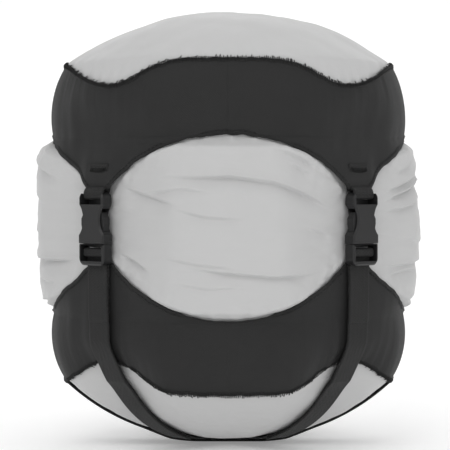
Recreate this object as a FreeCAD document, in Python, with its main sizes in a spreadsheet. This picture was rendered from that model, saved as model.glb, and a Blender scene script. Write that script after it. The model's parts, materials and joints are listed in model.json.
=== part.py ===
"""Compression stuff sack, packed and strapped down: bag, lid, straps, buckles and drawcord neck.

Frame: millimetres, +Z up, origin under the middle of the base, front towards -Y.
Soft layers are skins of one rounded outline at different offsets; the four straps sit on its diagonals.
Corner hardware is drawn once in a local frame and turned to each corner.
In that frame x runs across the webbing, y outwards and z up.
"""
import FreeCAD, Part
import math
import os
import Sketcher

Vector = FreeCAD.Vector
Rotation = FreeCAD.Rotation

# Driving dimensions, in millimetres and degrees: alias, value.
DRIVING = [
    ("base_z", 5.4), ("base_flat_r", 30), ("base_curve_r", 115),
    ("seam_r", 86.5), ("seam_z", 34.5), ("yoke_curve_r", 44),
    ("waist_r", 92.8), ("low_waist_z", 70.5), ("bulge_low_z", 75),
    ("bulge_r", 99), ("bulge_curve_r", 235), ("bulge_top_z", 157),
    ("top_waist_z", 162), ("lid_curve_r", 57), ("rim_z", 201.8),
    ("crown_z", 230.2), ("crown_curve_r", 146.8), ("crown_flat_r", 8),
    ("body_top_z", 203), ("flat_distance", 90),
    ("cloth", 1), ("body_cloth", 1.2), ("body_inset", 1), ("gap", 0.1),
    ("lid_gap", 0.3), ("strap_lift", 2), ("web_thick", 1.1), ("web_wide", 15),
    ("arch_r", 76), ("lid_arch_z", 162.7), ("base_arch_z", 71),
    ("lid_tab_z", 136), ("base_tab_z", 99.4), ("crown_half", 87.5), ("crown_corner_r", 90),
    ("tape_wide", 3), ("tape_thick", 0.4),
    ("handle_wide", 20), ("handle_half", 84), ("handle_end", 7), ("run_from", 60.1), ("tail_from", 34),
    ("buckle_gap", 1.6), ("buckle_half", 9.6), ("buckle_thick", 7), ("bevel", 0.8),
    ("frame_inset", 0.3), ("tongue_back", 1.8), ("tongue_front", 5.2),
    ("seat_back", 1.6), ("seat_front", 5.4), ("arm_back", 1.5), ("arm_front", 5.5),
    ("socket_top_z", 134.7), ("socket_low_z", 108.8), ("frame_low_z", 97.8),
    ("plate", 1.3), ("mouth_half", 7.2), ("latch_z", 115),
    ("bar_low_z", 103.3), ("bar_back", 1.7), ("bar_front", 4.2), ("bar_high", 2.2),
    ("wrap_deep", 5),
    ("pivot_x", 5), ("pivot_z", 110.1), ("pivot_r", 1.3), ("run_gap", 0.05),
    ("neck_r", 16), ("neck_z", 211), ("hem_r", 3.4), ("cord_r", 1.3),
    ("lock_y", 30), ("lock_r", 6), ("lock_low_z", 204.2), ("lock_high_z", 215.4),
    ("button_r", 3.6), ("button_high_z", 219.6), ("press", 2.5),
]

CORNERS = {"front_left": 135, "front_right": 225, "rear_right": 315, "rear_left": 45}
BIG = 400.0
UNDER = -1.0
EASE = 0.3
UP, FORWARD, SIDEWAYS = Vector(0, 0, 1), Vector(0, 1, 0), Vector(1, 0, 0)


class Dim:
    """A size that carries its value and the sheet expression that gives it."""

    def __init__(self, value, text):
        self.value = float(value)
        self.text = text

    def join(self, other, sign, value):
        other_text = other.text if isinstance(other, Dim) else repr(float(other))
        return Dim(value, "(%s %s %s)" % (self.text, sign, other_text))

    def __add__(self, other):
        return self.join(other, "+", self.value + number(other))

    def __sub__(self, other):
        return self.join(other, "-", self.value - number(other))

    def __mul__(self, other):
        return self.join(other, "*", self.value * number(other))

    def __radd__(self, other):
        return Dim(number(other) + self.value, "(%r + %s)" % (float(other), self.text))

    def __rsub__(self, other):
        return Dim(number(other) - self.value, "(%r - %s)" % (float(other), self.text))

    def __rmul__(self, other):
        return Dim(number(other) * self.value, "(%r * %s)" % (float(other), self.text))

    def __neg__(self):
        return 0.0 - self


def number(size):
    return size.value if isinstance(size, Dim) else float(size)


doc = FreeCAD.newDocument("StuffSack")
sheet = doc.addObject("Spreadsheet::Sheet", "Sizes")
size = {}
for row, (alias, value) in enumerate(DRIVING, start=1):
    sheet.set("A%d" % row, str(value))
    sheet.setAlias("A%d" % row, alias)
    size[alias] = Dim(value, "Sizes." + alias)
doc.recompute()
subparts = []


def keep(thing, label, turn=0.0, shift=None):
    """Names a finished sub-part and turns it about Z; shift is a move made before the turn."""
    thing.Label = label
    rotation = Rotation(UP, turn)
    thing.Placement = FreeCAD.Placement(rotation.multVec(shift or Vector()), rotation)
    subparts.append(thing)
    return thing


def bind(thing, **sizes):
    """Sets properties, bound to the sheet where the size is a Dim."""
    for prop, wanted in sizes.items():
        setattr(thing, prop, number(wanted))
        if isinstance(wanted, Dim):
            thing.setExpression(prop, wanted.text)
    return thing


# ---------------------------------------------------------------- sketch and body helpers

def plane_of(body, role):
    return next(f for f in body.Origin.OriginFeatures if f.Role == role)


def arc_between(start, end, radius, side):
    """Minor arc between two points, bulging to the left (side 1) or right (side -1) of the way."""
    chord = end - start
    bulge = Vector(-chord.y, chord.x, 0).normalize() * side
    centre = (start + end) * 0.5 - bulge * math.sqrt(max(radius ** 2 - chord.Length ** 2 / 4, 0))
    first, last = (end, start) if side > 0 else (start, end)
    angles = [math.atan2(p.y - centre.y, p.x - centre.x) for p in (first, last)]
    if angles[1] < angles[0]:
        angles[1] += 2 * math.pi
    return Part.ArcOfCircle(Part.Circle(centre, UP, radius), *angles)


def sketch(body, name, role, outline, lift=0.0):
    """Closed sketch. Each outline entry is (x, y) or (x, y, arc radius to the next point, side)."""
    made = body.newObject("Sketcher::SketchObject", name)
    made.AttachmentSupport = [(plane_of(body, role), "")]
    made.MapMode = "FlatFace"
    made.AttachmentOffset = FreeCAD.Placement(Vector(0, 0, number(lift)), Rotation())
    points = [Vector(number(p[0]), number(p[1]), 0) for p in outline]
    count = len(points)
    forward = []
    for i, entry in enumerate(outline):
        start, end = points[i], points[(i + 1) % count]
        if len(entry) == 2:
            made.addGeometry(Part.LineSegment(start, end), False)
            forward.append(True)
        else:
            made.addGeometry(arc_between(start, end, number(entry[2]), entry[3]), False)
            forward.append(entry[3] < 0)
    rules, names = [], {}
    for i, entry in enumerate(outline):
        after = (i + 1) % count
        mine = 1 if forward[i] else 2
        rules.append(Sketcher.Constraint("Coincident", i, 3 - mine, after, 1 if forward[after] else 2))
        for kind, wanted in (("DistanceX", entry[0]), ("DistanceY", entry[1])):
            names[len(rules)] = ("at%d%s" % (i, kind[-1]), wanted)
            rules.append(Sketcher.Constraint(kind, -1, 1, i, mine, number(wanted)))
        if len(entry) > 2:
            names[len(rules)] = ("arc%d" % i, entry[2])
            rules.append(Sketcher.Constraint("Radius", i, number(entry[2])))
    made.addConstraint(rules)
    for index, (label, wanted) in names.items():
        if isinstance(wanted, Dim):
            made.renameConstraint(index, label)
            made.setExpression("Constraints." + label, wanted.text)
    return made


def new_body(name):
    return doc.addObject("PartDesign::Body", name)


def pad(body, name, role, outline, length, lift=0.0, reverse=False):
    feature = body.newObject("PartDesign::Pad", name)
    feature.Profile = sketch(body, name + "Sketch", role, outline, lift)
    feature.Reversed = reverse
    return bind(feature, Length=length)


def pocket(body, name, role, outline, length, lift=0.0, reverse=False):
    feature = body.newObject("PartDesign::Pocket", name)
    feature.Profile = sketch(body, name + "Sketch", role, outline, lift)
    feature.Reversed = reverse
    return bind(feature, Length=length)


def front_pad(body, name, outline, near, far):
    """Pad of an x-z outline from y = near to y = far. The XZ plane's normal is -Y."""
    return pad(body, name, "XZ_Plane", outline, far - near, lift=-number(near), reverse=True)


def front_pocket(body, name, outline, near, far):
    """Pocket of an x-z outline from y = near to y = far."""
    return pocket(body, name, "XZ_Plane", outline, far - near, lift=-number(near))


def side_pad(body, name, outline, wide):
    """Pad of a y-z outline, centred on x = 0."""
    feature = pad(body, name, "YZ_Plane", outline, wide)
    feature.Midplane = True
    return feature


def side_pocket(body, name, outline):
    """Pocket of a y-z outline right through, sideways."""
    doc.recompute()
    feature = pocket(body, name, "YZ_Plane", outline, BIG)
    feature.Midplane = True
    return feature


def box_outline(half, low, high):
    return [(-half, low), (half, low), (half, high), (-half, high)]


def soften(body, width, depths):
    """Chamfer round the front and back faces of the tip."""
    doc.recompute()
    tip = body.Tip
    names = ["Edge%d" % (i + 1) for i, e in enumerate(tip.Shape.Edges) if on_face(e, depths)]
    bevel = body.newObject("PartDesign::Chamfer", body.Name + "Bevel")
    bevel.Base = (tip, names)
    bind(bevel, Size=width)


# ---------------------------------------------------------------- primitives and booleans

def box(name, x, y, z, wide, deep, high, turn=0.0):
    """Box with its lowest corner at x, y, z, turned about the Z axis."""
    made = bind(doc.addObject("Part::Box", name), Length=wide, Width=deep, Height=high)
    rotation = Rotation(UP, turn)
    corner = Vector(number(x), number(y), number(z))
    made.Placement = FreeCAD.Placement(rotation.multVec(corner), rotation)
    return made


def cylinder(name, radius, height, base, axis):
    made = bind(doc.addObject("Part::Cylinder", name), Radius=radius, Height=height)
    made.Placement = FreeCAD.Placement(base, Rotation(UP, axis))
    return made


def torus(name, ring_r, tube_r, z):
    made = bind(doc.addObject("Part::Torus", name), Radius1=ring_r, Radius2=tube_r)
    made.Placement.Base = Vector(0, 0, number(z))
    return made


def cut(name, base, tool):
    made = doc.addObject("Part::Cut", name)
    made.Base, made.Tool = base, tool
    return made


def common(name, base, tool):
    made = doc.addObject("Part::Common", name)
    made.Base, made.Tool = base, tool
    return made


def fuse(name, *things):
    made = doc.addObject("Part::MultiFuse", name)
    made.Shapes = list(things)
    return made


# ---------------------------------------------------------------- the rounded outline and its skins

def outline_at(offset):
    """Half outline of the packed sack, axis to axis, moved outwards by offset."""
    s = size
    slant = 0.7 * offset
    return [
        (0.0, s["base_z"] - offset),
        (s["base_flat_r"], s["base_z"] - offset, s["base_curve_r"] + offset, -1),
        (s["seam_r"] + slant, s["seam_z"] - slant, s["yoke_curve_r"] + offset, -1),
        (s["waist_r"] + offset, s["low_waist_z"]),
        (s["bulge_r"] + offset, s["bulge_low_z"], s["bulge_curve_r"] + offset, -1),
        (s["bulge_r"] + offset, s["bulge_top_z"]),
        (s["waist_r"] + offset, s["top_waist_z"], s["lid_curve_r"] + offset, -1),
        (s["seam_r"] + slant, s["rim_z"] + slant, s["crown_curve_r"] + offset, -1),
        (s["crown_flat_r"], s["crown_z"] + offset),
        (0.0, s["crown_z"] + offset),
    ]


skins = {}


def full_at(offset, name):
    """Solid inside the outline moved by offset, flattened on the four diagonals."""
    if name not in skins:
        body = new_body(name + "Turned")
        turned = body.newObject("PartDesign::Revolution", name + "Revolution")
        turned.Profile = sketch(body, name + "Outline", "XZ_Plane", outline_at(offset))
        turned.ReferenceAxis = (turned.Profile[0], ["V_Axis"])
        turned.Angle = 360
        half = size["flat_distance"] + offset
        below = -number(size["base_flat_r"])
        prism = box(name + "Flats", -half, -half, below, half * 2, half * 2, BIG, turn=45)
        skins[name] = common(name + "Full", body, prism)
    return skins[name]


def skin(inner, outer):
    """Layer between two outlines, each given as (offset, name)."""
    name = inner[1] + outer[1]
    if name not in skins:
        skins[name] = cut(name, full_at(*outer), full_at(*inner))
    return skins[name]


BODY_OUT = (-size["body_inset"], "BodyOut")
BODY_IN = (BODY_OUT[0] - size["body_cloth"], "BodyIn")
YOKE_IN = (size["lid_gap"], "YokeIn")
YOKE_OUT = (size["lid_gap"] + size["cloth"], "YokeOut")
TAPE_OUT = (YOKE_OUT[0] + size["tape_thick"], "TapeOut")
STRAP_IN = (size["strap_lift"], "StrapIn")
STRAP_OUT = (size["strap_lift"] + size["web_thick"], "StrapOut")
TAIL_IN = (STRAP_OUT[0] + size["gap"], "TailIn")
TAIL_OUT = (TAIL_IN[0] + size["web_thick"], "TailOut")
HANDLE_IN = (TAIL_OUT[0] + size["gap"], "HandleIn")
HANDLE_OUT = (1.0 * size["base_z"], "HandleOut")


def slab(name, low, high):
    """Everything between two heights."""
    return box(name, -BIG / 2, -BIG / 2, low, BIG, BIG, high - low)


def slab_x(name, half):
    """Everything within half of the middle, sideways."""
    return box(name, -half, -BIG / 2, -BIG / 2, half * 2, BIG, BIG)


def arches(name, radius, centre_z):
    """Two crossing cylinders that cut an arch on each of the four sides."""
    along_y = cylinder(name + "Front", radius, BIG, Vector(0, -BIG / 2, centre_z), FORWARD)
    along_x = cylinder(name + "Side", radius, BIG, Vector(-BIG / 2, 0, centre_z), SIDEWAYS)
    return fuse(name, along_y, along_x)


# ---------------------------------------------------------------- bag

def build_bag():
    """Bag body with its open neck, and the base panel below its seam."""
    s = size
    wall = skin(BODY_IN, BODY_OUT)
    side = common("SackSide", wall, slab("BelowTop", s["seam_z"], s["body_top_z"]))
    lid_plate = common("TopCloth", full_at(*BODY_IN),
                       slab("TopSlab", s["body_top_z"] - s["body_cloth"], s["body_top_z"]))
    neck_low = s["body_top_z"] - s["body_cloth"]
    neck = cylinder("NeckTube", s["neck_r"], s["neck_z"] - s["hem_r"] - neck_low,
                    Vector(0, 0, number(neck_low)), UP)
    whole = fuse("SackWhole", side, lid_plate, neck)
    hole_low = s["body_top_z"] - 2 * s["neck_r"]
    mouth = cylinder("NeckHole", s["neck_r"] - s["body_cloth"], 3 * s["neck_r"],
                     Vector(0, 0, number(hole_low)), UP)
    keep(cut("SackBody", whole, mouth), "bag_body")
    keep(common("BasePanel", wall, slab("BelowSeam", -s["base_z"], s["seam_z"] - s["gap"])), "base_panel")


def build_drawcord():
    """Gathered neck hem, and the cord that runs inside it and out at the front as two legs and a knot."""
    s = size
    tunnel_r = s["cord_r"] + EASE
    leg_x, leg_long, knot_r = 1.5, 36.0, 3.0
    beyond = 1.0
    front_y = -s["neck_r"]
    ring = torus("HemRing", s["neck_r"], s["hem_r"], s["neck_z"])
    bore = torus("HemBore", s["neck_r"], tunnel_r, s["neck_z"])
    slot_half = 2 * leg_x + EASE
    exit_slot = box("HemExit", -slot_half, front_y - s["hem_r"] - beyond, s["neck_z"] - tunnel_r,
                    2 * slot_half, s["hem_r"] + beyond, 2 * tunnel_r)
    keep(cut("NeckHem", cut("HemShell", ring, bore), exit_slot), "neck_hem")
    loop = torus("CordLoop", s["neck_r"], s["cord_r"], s["neck_z"])
    start = Vector(0, number(front_y), number(s["neck_z"]))
    legs = [cylinder("CordLeg%d" % i, s["cord_r"], leg_long, start + SIDEWAYS * leg_x * side, -FORWARD)
            for i, side in enumerate((-1, 1))]
    knot = bind(doc.addObject("Part::Sphere", "CordKnot"), Radius=knot_r)
    knot.Placement.Base = start - FORWARD * (leg_long + knot_r / 3)
    keep(fuse("Drawcord", loop, *(legs + [knot])), "drawcord")


def build_cord_lock():
    """Barrel, sprung button and spring. Both are slotted for the two cord legs."""
    s = size
    at_y = -number(s["lock_y"])
    low = number(s["lock_low_z"])
    slot_low = s["neck_z"] - s["cord_r"] - EASE
    slot_high = 2 * (s["cord_r"] + EASE)
    slot_half, slot_long, floor, fit = 3.1, 20.0, 1.2, 0.2
    slot_y = at_y - slot_long / 2
    shell = cylinder("LockShell", s["lock_r"], s["lock_high_z"] - s["lock_low_z"], Vector(0, at_y, low), UP)
    well = cylinder("LockWell", s["button_r"] + fit, slot_long, Vector(0, at_y, low + floor), UP)
    tunnel = box("LockTunnel", -slot_half, slot_y, slot_low, 2 * slot_half, slot_long, slot_high)
    keep(cut("LockBarrel", shell, fuse("LockVoid", well, tunnel)), "cord_lock_barrel")
    cap_high, cap_lip = 1.4, 0.8
    stem_low = s["neck_z"] - s["cord_r"] - cap_lip
    stem = cylinder("ButtonStem", s["button_r"], s["button_high_z"] - stem_low - 1.0,
                    Vector(0, at_y, number(stem_low)), UP)
    cap = cylinder("ButtonCap", s["button_r"] + cap_lip, cap_high,
                   Vector(0, at_y, number(s["button_high_z"]) - cap_high), UP)
    window = box("ButtonWindow", -slot_half, slot_y, slot_low,
                 2 * slot_half, slot_long, slot_high + s["press"])
    keep(cut("LockButton", fuse("ButtonSolid", stem, cap), window), "cord_lock_button")
    spring_low = low + 1.3
    keep(lock_spring(at_y, spring_low, number(stem_low)), "cord_lock_spring")


def lock_spring(at_y, low, high):
    """Coil spring between the barrel's floor and the button's stem."""
    pitch, coil_r, wire_r = 0.62, 2.4, 0.2
    spare, rise = 0.6, 0.25
    helix = Part.makeHelix(pitch, high - low - spare, coil_r)
    helix.translate(Vector(0, at_y, low + rise))
    start = helix.Edges[0].valueAt(helix.Edges[0].FirstParameter)
    ring = Part.Wire([Part.Circle(start, FORWARD, wire_r).toShape()])
    spring = doc.addObject("Part::Feature", "LockSpring")
    spring.Shape = Part.Wire(helix.Edges).makePipeShell([ring], True, True)
    return spring


# ---------------------------------------------------------------- base and lid

def build_base():
    """Base yoke with four points, its edge tape, crossed webbing and the pull handle."""
    s = size
    centre = number(s["base_arch_z"] + s["arch_r"])
    above = slab("BaseYokeRange", s["seam_z"], s["base_tab_z"])
    ring = common("BaseYokeRing", skin(YOKE_IN, YOKE_OUT), above)
    panel = cut("BasePanelCut", ring, arches("BaseArch", s["arch_r"], centre))
    edge = cut("BaseTapeRing", arches("BaseTapeOuter", s["arch_r"] + s["tape_wide"], centre),
               arches("BaseTapeInner", s["arch_r"], centre))
    strip = common("BaseTapeSkin", skin(YOKE_IN, TAPE_OUT), above)
    keep(fuse("BaseYoke", panel, common("BaseTape", strip, edge)), "base_yoke")
    half = s["handle_half"]
    band = box("HandleBand", -half, -0.5 * s["handle_wide"], UNDER, 2 * half, s["handle_wide"], s["seam_z"])
    grip = common("HandleGrip", skin(HANDLE_IN, HANDLE_OUT), band)
    ends = cut("HandleEndBand", band, slab_x("HandleMiddle", half - s["handle_end"]))
    sewn = common("HandleEnds", skin(BODY_OUT, HANDLE_OUT), ends)
    keep(fuse("BaseHandle", grip, sewn), "base_handle")


def build_lid():
    """Crown panel, lid yoke with four points, and its edge tape."""
    s = size
    half = s["crown_half"]
    above_all = s["crown_z"] + s["base_z"]
    crown_low = s["top_waist_z"] + 20.0
    prism = box("CrownPrism", -half, -half, s["lid_tab_z"], 2 * half, 2 * half, BIG)
    tube = cylinder("CrownRound", s["crown_corner_r"], BIG, Vector(0, 0, number(s["arch_r"])), UP)
    inside = common("CrownInside", prism, tube)
    shell = common("LidShell", skin(YOKE_IN, YOKE_OUT), slab("LidRange", s["lid_tab_z"], above_all))
    top = common("CrownPanelAll", shell, inside)
    keep(common("LidCrown", top, slab("CrownRange", crown_low, above_all)), "lid_crown")
    crown_cut = common("CrownCut", inside, slab("CrownCutRange", crown_low - s["gap"], above_all))
    outer = cut("LidYokeAll", shell, crown_cut)
    centre = number(s["lid_arch_z"] - s["arch_r"])
    panel = cut("LidYokePanel", outer, arches("LidArch", s["arch_r"], centre))
    edge = cut("LidTapeRing", arches("LidTapeOuter", s["arch_r"] + s["tape_wide"], centre),
               arches("LidTapeInner", s["arch_r"], centre))
    strip = common("LidTapeSkin", skin(YOKE_IN, TAPE_OUT),
                   slab("LidTapeRange", s["lid_tab_z"], s["rim_z"]))
    keep(fuse("LidYoke", panel, common("LidTape", strip, edge)), "lid_yoke")


# ---------------------------------------------------------------- webbing

def build_base_webbing():
    """Two webbing straps that cross under the base; the second one steps over the first."""
    s = size
    reach = s["run_from"] - s["gap"]
    wide = s["web_wide"]
    high = s["base_flat_r"]
    step = 0.5 * wide + EASE
    over = step + s["web_thick"]
    low = common("CrossLow", skin(STRAP_IN, STRAP_OUT), slab("CrossRange", UNDER, high))
    pieces = []
    for name, turn in (("Upper", 45), ("Lower", -45)):
        band = box("Cross" + name, -0.5 * wide, -reach, UNDER, wide, 2 * reach, high, turn=turn)
        pieces.append(common("CrossPiece" + name, low, band))
    keep(pieces[0], "base_strap_upper")
    middle = box("CrossGap", -wide, -step, UNDER, 2 * wide, 2 * step, high, turn=turn)
    bridge = box("CrossBridge", -0.5 * wide, -over, UNDER, wide, 2 * over, high, turn=turn)
    riser = cut("CrossRiser", common("CrossRiserAll", skin(STRAP_IN, TAIL_OUT), bridge), middle)
    plate = common("CrossPlate", skin(TAIL_IN, TAIL_OUT), bridge)
    keep(fuse("CrossStepped", cut("CrossEnds", pieces[1], middle), riser, plate), "base_strap_lower")


def build_strap(corner, turn):
    """Load run up one corner, and the free tail that lies over it."""
    s = size
    high = s["frame_low_z"] - UNDER
    for label, layer, start in (("strap_", (STRAP_IN, STRAP_OUT), s["run_from"]),
                                ("strap_tail_", (TAIL_IN, TAIL_OUT), s["tail_from"])):
        name = label.title().replace("_", "")
        band = box(name + "Band" + corner, -0.5 * s["web_wide"], start, UNDER,
                   s["web_wide"], s["bulge_r"], high, turn=turn)
        keep(common(name + corner, skin(*layer), band), label + corner)


def build_buckle_loop(corner, turn):
    """Webbing that wraps the ladder bar, from the load run round to the tail."""
    s = size
    near = s["flat_distance"] + s["strap_lift"]
    far = near + s["wrap_deep"]
    thick, gap = s["web_thick"], s["gap"]
    low = s["frame_low_z"] + gap
    bend = s["bar_low_z"] - thick
    top = s["bar_low_z"] + s["bar_high"] + thick + gap
    body = new_body("Wrap" + corner)
    outer = [(near, low), (near + thick, low), (near + thick, bend), (near + thick + gap, bend),
             (near + thick + gap, low), (near + 2 * thick + gap, low), (near + 2 * thick + gap, bend),
             (far, bend), (far, top), (near, top)]
    hole = [(near + thick, s["bar_low_z"] - gap), (far - thick, s["bar_low_z"] - gap),
            (far - thick, top - thick), (near + thick, top - thick)]
    side_pad(body, "WrapPad", outer, s["web_wide"])
    side_pocket(body, "WrapHole", hole)
    keep(body, "strap_loop_" + corner, turn)


def build_lid_webbing(corner, turn):
    """Webbing folded round the socket's crossbar and sewn to the lid point."""
    s = size
    near = s["flat_distance"] + s["strap_lift"]
    far = near + s["wrap_deep"]
    thick = s["web_thick"]
    sewn = near + 2 * thick + s["gap"]
    bar_top = s["socket_top_z"]
    low = bar_top - s["bar_high"] - thick - s["gap"]
    sewn_low, sewn_high = bar_top + 4.3, bar_top + 10.3
    body = new_body("Tab" + corner)
    outer = [(near, low), (far, low), (far, bar_top + 1.4),
             (sewn, sewn_low), (sewn, sewn_high), (near, sewn_high)]
    hole = [(near + thick, low + thick), (far - thick, low + thick), (far - thick, bar_top + 0.6),
            (near + thick + 0.4, bar_top + 2.4), (near + thick, bar_top + 2.4)]
    side_pad(body, "TabPad", outer, s["web_wide"])
    side_pocket(body, "TabHole", hole)
    keep(body, "lid_webbing_" + corner, turn)


# ---------------------------------------------------------------- buckles, local y = 0 at the back face

def buckle_place():
    """Shift from the sack's middle out to the back face of a buckle."""
    return Vector(0, number(size["flat_distance"] + size["buckle_gap"]), 0)


def build_socket(corner, turn):
    """Female half: two waisted plates, closed mouth walls, open finger windows and a crossbar."""
    s = size
    half, top, low, thick = s["buckle_half"], s["socket_top_z"], s["socket_low_z"], s["buckle_thick"]
    body = new_body("Socket" + corner)
    corner_r, waist_r = 3.2, 11.1
    ring = half - 0.4
    shoulder, hip, post = top - corner_r, top - 6.3, low + 4.4
    inner_x = ring - corner_r + 0.2
    right = [(inner_x, top, corner_r, 1), (ring, shoulder), (ring, hip, waist_r, -1),
             (half, post), (half, low)]
    left = [(-half, low), (-half, post, waist_r, -1), (-ring, hip),
            (-ring, shoulder, corner_r, 1), (-inner_x, top)]
    front_pad(body, "Shell", right + left, 0.0, thick)
    soften(body, s["bevel"], (0.0, number(thick)))
    back, front = s["plate"], thick - s["plate"]
    lap = 1.0
    front_pocket(body, "Mouth", box_outline(s["mouth_half"], low - lap, s["latch_z"] + lap), back, front)
    front_pocket(body, "Windows", box_outline(half + lap, s["latch_z"], top - 8.2), back, front)
    web_half = 0.5 * s["web_wide"] + 0.4
    slot_low, slot_mid, slot_high = top - 6.1, top - 3.7, top - s["bar_high"]
    front_pocket(body, "WebSlot", box_outline(web_half, slot_mid, slot_high), -lap, thick + lap)
    front_pocket(body, "BarBack", box_outline(web_half, slot_mid, top + lap), -lap, s["bar_back"])
    front_pocket(body, "BarFront", box_outline(web_half, slot_low, top + lap), s["bar_front"], thick + lap)
    front_pocket(body, "SlotFloor", box_outline(web_half, slot_low, slot_mid + 0.1), lap, thick + lap)
    keep(body, "buckle_socket_" + corner, turn, buckle_place())


def on_face(edge, depths):
    """True if the edge lies in one of the planes y = depth."""
    box_of = edge.BoundBox
    return any(abs(box_of.YMin - d) < 1e-4 and abs(box_of.YMax - d) < 1e-4 for d in depths)


def build_frame(corner, turn):
    """Male half: ladder frame with two bars, a guide tongue and seats for the release arms."""
    s = size
    half, low, thick = s["buckle_half"], s["frame_low_z"], s["buckle_thick"]
    top = s["socket_low_z"] - 2 * s["gap"]
    inset = s["frame_inset"]
    body = new_body("Frame" + corner)
    corner_r = 3.6
    outline = [(half, top), (half, low + corner_r, corner_r, 1), (half - corner_r, low),
               (-half + corner_r, low, corner_r, 1), (-half, low + corner_r), (-half, top)]
    front_pad(body, "Ladder", outline, inset, thick - inset)
    soften(body, s["bevel"], (number(inset), number(thick - inset)))
    web_half = 0.5 * s["web_wide"] + 0.6
    lap, clear = 0.1, 1.0
    bar_low, foot = s["bar_low_z"], low + 2.1
    bar_top = bar_low + s["bar_high"]
    slot_top = bar_top + 1.4
    fold = bar_low + 1.5
    through = thick + 2 * clear
    front_pocket(body, "UpperSlot", box_outline(web_half, bar_top, slot_top), -clear, through)
    front_pocket(body, "UpperFloor", box_outline(web_half, slot_top - lap, slot_top + 1.2), 1.2, through)
    front_pocket(body, "LowerSlot", box_outline(web_half, foot, bar_low), -clear, through)
    front_pocket(body, "WebPath", box_outline(web_half, low - clear, fold + lap), -clear, s["bar_back"])
    front_pocket(body, "WebTop", box_outline(web_half, fold, slot_top), -clear, s["bar_back"])
    front_pocket(body, "TailPath", box_outline(web_half, low - clear, foot + lap),
                 -clear, s["bar_back"] + 1.2)
    front_pocket(body, "BarFace", box_outline(web_half, foot, bar_top + lap), s["bar_front"], through)
    tip = top + 14.5
    root_half, tip_half, tip_r = 1.7, 1.5, 2.2
    tongue = [(-root_half, top - 0.2), (root_half, top - 0.2), (tip_half, tip, tip_r, -1), (-tip_half, tip)]
    front_pad(body, "Tongue", tongue, s["tongue_back"], s["tongue_front"])
    seat = box_outline(s["mouth_half"] - 0.2, top - 0.2, top + 1.6)
    front_pad(body, "ArmSeat", seat, s["seat_back"], s["seat_front"])
    seat_r = s["pivot_r"] + s["run_gap"]
    seat_z, open_z = s["pivot_z"], s["pivot_z"] + 3.0
    for i, side in enumerate((-1, 1)):
        at = s["pivot_x"] * side
        front_pocket(body, "Seat%d" % i, [
            (at - seat_r, seat_z, seat_r, -1), (at, seat_z - seat_r, seat_r, -1),
            (at + seat_r, seat_z), (at + seat_r, open_z), (at - seat_r, open_z)], -clear, through)
    keep(body, "buckle_frame_" + corner, turn, buckle_place())


def build_arm(corner, turn, hand):
    """Release arm: round root, springy stem and a head whose hook rests over the mouth wall."""
    s = size
    side = {"left": -1, "right": 1}[hand]
    px, pz, pr = s["pivot_x"], s["pivot_z"], s["pivot_r"]
    hook = s["latch_z"] + 0.15
    hook_out = s["mouth_half"] + 0.75
    head_out = s["buckle_half"] - 1.0
    tip = pz + 14.6
    corner_points = [
        (px - pr, pz), (px - 0.9, pz + 8.0), (px - 0.6, tip - 1.8), (px + 0.4, tip), (px + 1.6, tip),
        (head_out, tip - 3.4), (head_out, tip - 6.0), (hook_out, hook), (px + 1.5, hook),
        (px + pr, pz + 1.5), (px + pr, pz), (px, pz - pr)]
    outline = [(x * side, z) for x, z in corner_points]
    for i in (-2, -1):
        outline[i] = outline[i] + (pr, side)
    body = new_body("Arm" + hand + corner)
    front_pad(body, "ArmPad", outline, s["arm_back"], s["arm_front"])
    keep(body, "release_arm_%s_%s" % (corner, hand), turn, buckle_place())


# ---------------------------------------------------------------- assembly and export

build_bag()
build_drawcord()
build_cord_lock()
build_base()
build_lid()
build_base_webbing()
for corner_name, angle in CORNERS.items():
    build_strap(corner_name, angle)
    build_buckle_loop(corner_name, angle)
    build_lid_webbing(corner_name, angle)
    build_socket(corner_name, angle)
    build_frame(corner_name, angle)
    for hand_name in ("left", "right"):
        build_arm(corner_name, angle, hand_name)
doc.recompute()

failed = [o.Label for o in doc.Objects if "Invalid" in o.State or "Error" in o.State]
if failed:
    raise RuntimeError("features that failed: %s" % failed)
os.makedirs("parts", exist_ok=True)
for stale in os.listdir("parts"):
    os.remove(os.path.join("parts", stale))
for part in subparts:
    shape = part.Shape
    if shape.isNull() or not shape.isValid() or not shape.Solids:
        raise RuntimeError("%s has no valid solid" % part.Label)
    shape.exportStep("parts/%s.step" % part.Label)
    print(part.Label, len(shape.Solids), round(shape.Volume), [round(v) for v in (
        shape.BoundBox.XMin, shape.BoundBox.YMin, shape.BoundBox.ZMin,
        shape.BoundBox.XMax, shape.BoundBox.YMax, shape.BoundBox.ZMax)])
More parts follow.
